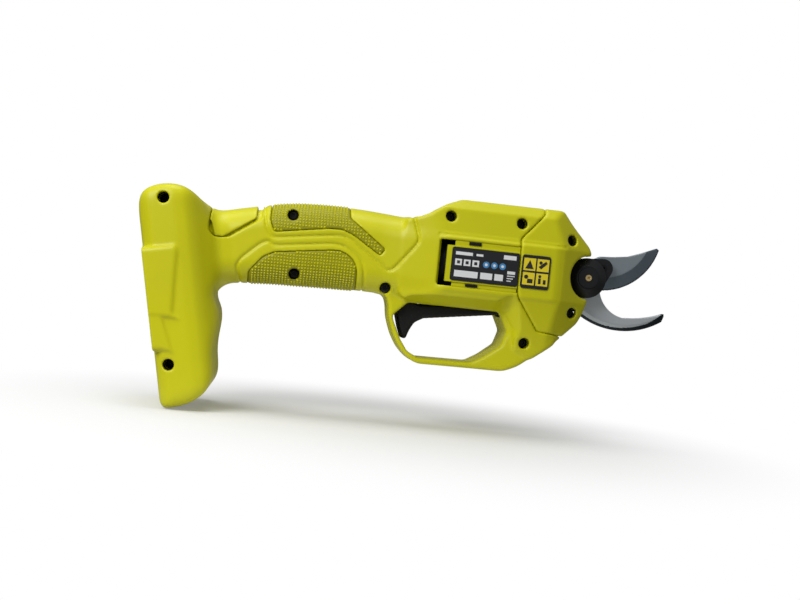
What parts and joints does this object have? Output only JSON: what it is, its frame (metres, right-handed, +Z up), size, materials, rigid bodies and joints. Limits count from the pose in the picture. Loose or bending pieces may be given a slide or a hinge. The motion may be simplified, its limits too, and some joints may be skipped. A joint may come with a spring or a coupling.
{
  "type": "battery electric pruner",
  "caption": "Cordless pruner with a battery foot, textured grip, guarded trigger and two curved blades driven by a motor in the head.",
  "frame": {"origin": "centre of the battery foot's rear face", "axes": "+X forward along the motor and gear axis to the blades, +Y to the tool's left, +Z up, away from the trigger"},
  "size_m": [0.2917, 0.078, 0.1259],
  "materials": {
    "housing": "satin moulded",
    "grip_pad": "fine pyramid texture",
    "label": "printed film",
    "screw_black": "black oxide",
    "black_plastic": "matte",
    "contact": "satin",
    "steel": "turned",
    "magnet": "sintered",
    "copper": "enamelled wire",
    "carbon": "carbon",
    "gear_steel": "sintered",
    "gear_black": "satin black",
    "blade_steel": "ground",
    "hook_steel": "ground",
    "cast_aluminium": "die cast",
    "brass": "polished",
    "board": "solder mask",
    "board_part": "moulded",
    "wire": "covered wire"
  },
  "bodies": {
    "housing": {"housing_right": "housing", "housing_left": "housing", "housing_foot_right": "housing", "housing_foot_left": "housing", "housing_guard_right": "housing", "housing_guard_left": "housing", "nose_cover_right": "housing", "nose_cover_left": "housing", "grip_pad_upper_right": "grip_pad", "grip_pad_upper_left": "grip_pad", "grip_pad_lower_right": "grip_pad", "grip_pad_lower_left": "grip_pad", "vent_panel_right": "housing", "vent_panel_left": "housing", "rating_label": "label", "warning_label": "label", "housing_screws": "screw_black", "nose_screws": "screw_black", "battery_socket": "black_plastic", "terminal_block": "black_plastic", "battery_contacts": "contact", "motor_can": "steel", "motor_magnets": "magnet", "motor_end_cap": "black_plastic", "motor_brushes": "carbon", "motor_bearings": "steel", "ring_gear": "gear_steel", "motor_plate": "steel", "output_bearing": "steel", "hook_blade": "hook_steel", "gear_case": "cast_aluminium", "hook_screws": "steel", "pivot_bolt": "gear_black", "grease_nipple": "brass", "pivot_washer": "steel", "pivot_nut": "steel", "trigger_pin": "steel", "trigger_spring": "steel", "trigger_switch": "black_plastic", "power_switch": "black_plastic", "control_board": "board", "board_parts": "board_part", "leads": "wire"},
    "blade": {"blade_gear": "gear_black", "arm_screw": "screw_black", "cutting_blade": "blade_steel"},
    "carrier": {"planet_carrier": "gear_steel", "bevel_pinion": "gear_steel"},
    "rotor": {"motor_shaft": "steel", "commutator": "copper", "armature_core": "gear_steel", "armature_windings": "copper", "sun_gear": "gear_steel"},
    "planet_1": {"planet_gear_1": "gear_steel"},
    "planet_2": {"planet_gear_2": "gear_steel"},
    "planet_3": {"planet_gear_3": "gear_steel"},
    "trigger": {"trigger": "black_plastic"},
    "plunger": {"switch_plunger": "black_plastic"},
    "power_switch_cap": {"power_switch_cap": "housing"}
  },
  "joints": [
    {"name": "blade_pivot", "type": "hinge", "parent": "housing", "child": "blade", "pos_m": [0.2305, 0, 0.0345], "axis": [0, 1, 0], "range_deg": [0, 52]},
    {"name": "carrier_spin", "type": "hinge", "parent": "housing", "child": "carrier", "pos_m": [0.195, 0, 0.0345], "axis": [1, 0, 0], "range_deg": [-157, 1]},
    {"name": "rotor_spin", "type": "hinge", "parent": "housing", "child": "rotor", "pos_m": [0.165, 0, 0.0345], "axis": [1, 0, 0], "range_deg": [-785, 5]},
    {"name": "planet_1_spin", "type": "hinge", "parent": "carrier", "child": "planet_1", "pos_m": [0.189, 0, 0.0435], "axis": [1, 0, 0], "range_deg": [-5, 421]},
    {"name": "planet_2_spin", "type": "hinge", "parent": "carrier", "child": "planet_2", "pos_m": [0.189, -0.00779, 0.03], "axis": [1, 0, 0], "range_deg": [-5, 421]},
    {"name": "planet_3_spin", "type": "hinge", "parent": "carrier", "child": "planet_3", "pos_m": [0.189, 0.00779, 0.03], "axis": [1, 0, 0], "range_deg": [-5, 421]},
    {"name": "trigger_pull", "type": "hinge", "parent": "housing", "child": "trigger", "pos_m": [0.188, 0, 0.0133], "axis": [0, 1, 0], "range_deg": [0, 7], "stiffness_Nm_per_rad": 0.25, "springref_deg": -20.05, "deforming": ["trigger_spring"]},
    {"name": "plunger_slide", "type": "slide", "parent": "housing", "child": "plunger", "axis": [0, 0, 1], "range_m": [0, 0.0071]},
    {"name": "power_switch_slide", "type": "slide", "parent": "housing", "child": "power_switch_cap", "axis": [0.9781, 0, 0.2079], "range_m": [0, 0.0025]}
  ],
  "couplings": [
    {"joint": "carrier_spin", "follows": "blade_pivot", "ratio": -3},
    {"joint": "rotor_spin", "follows": "blade_pivot", "ratio": -15},
    {"joint": "planet_1_spin", "follows": "blade_pivot", "ratio": 8},
    {"joint": "planet_2_spin", "follows": "blade_pivot", "ratio": 8},
    {"joint": "planet_3_spin", "follows": "blade_pivot", "ratio": 8},
    {"joint": "plunger_slide", "follows": "trigger_pull", "m_per_rad": 0.058}
  ]
}
